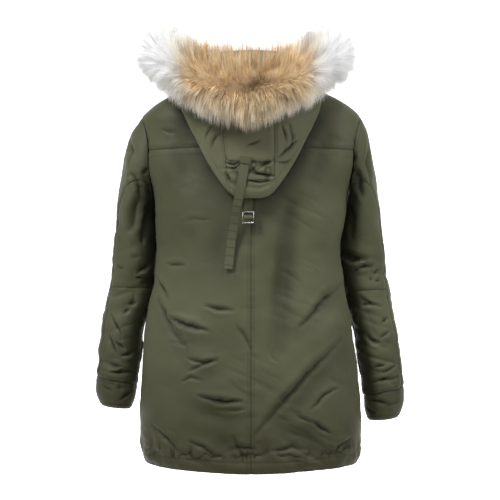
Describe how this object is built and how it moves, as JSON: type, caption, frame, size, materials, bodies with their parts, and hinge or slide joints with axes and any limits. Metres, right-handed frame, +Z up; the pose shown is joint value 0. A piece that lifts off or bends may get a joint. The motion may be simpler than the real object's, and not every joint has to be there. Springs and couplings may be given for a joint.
{
  "type": "fur trimmed parka",
  "caption": "Thigh-length padded parka, zipped up and filled out as worn, hood lying open on its back with a fur ruff and a buckled strap.",
  "frame": {"origin": "middle of the neck opening at the shoulder line, where the coat rests on its wearer", "axes": "+Z up, +Y the way the wearer faces, +X the wearer's right"},
  "size_m": [0.6911, 0.4615, 0.9739],
  "materials": {
    "olive_cloth": "woven nylon with a soft sheen",
    "olive_webbing": "matte tape",
    "zinc_metal": "satin",
    "raccoon_fur": "long hair"
  },
  "bodies": {
    "coat": {"back_yoke": "olive_cloth", "back_left": "olive_cloth", "back_right": "olive_cloth", "front_left": "olive_cloth", "front_right": "olive_cloth", "collar": "olive_cloth", "top_sleeve_left": "olive_cloth", "under_sleeve_upper_left": "olive_cloth", "under_sleeve_lower_left": "olive_cloth", "cuff_left": "olive_cloth", "top_sleeve_right": "olive_cloth", "under_sleeve_upper_right": "olive_cloth", "under_sleeve_lower_right": "olive_cloth", "cuff_right": "olive_cloth", "hood_middle_lower": "olive_cloth", "hood_middle_upper": "olive_cloth", "hood_left": "olive_cloth", "hood_right": "olive_cloth", "strap_tab": "olive_cloth", "strap_long": "olive_webbing", "strap_short": "olive_webbing", "zip_tape_left": "olive_webbing", "zip_tape_right": "olive_webbing", "buckle": "zinc_metal", "zip_chain": "zinc_metal", "zip_slider": "zinc_metal", "fur_ruff": "raccoon_fur"},
    "pull": {"zip_pull": "zinc_metal"}
  },
  "joints": [
    {"name": "zip_pull_swing", "type": "hinge", "parent": "coat", "child": "pull", "pos_m": [0, 0.07876, 0.0146], "axis": [1, 0, 0], "range_deg": [0, 120]}
  ]
}
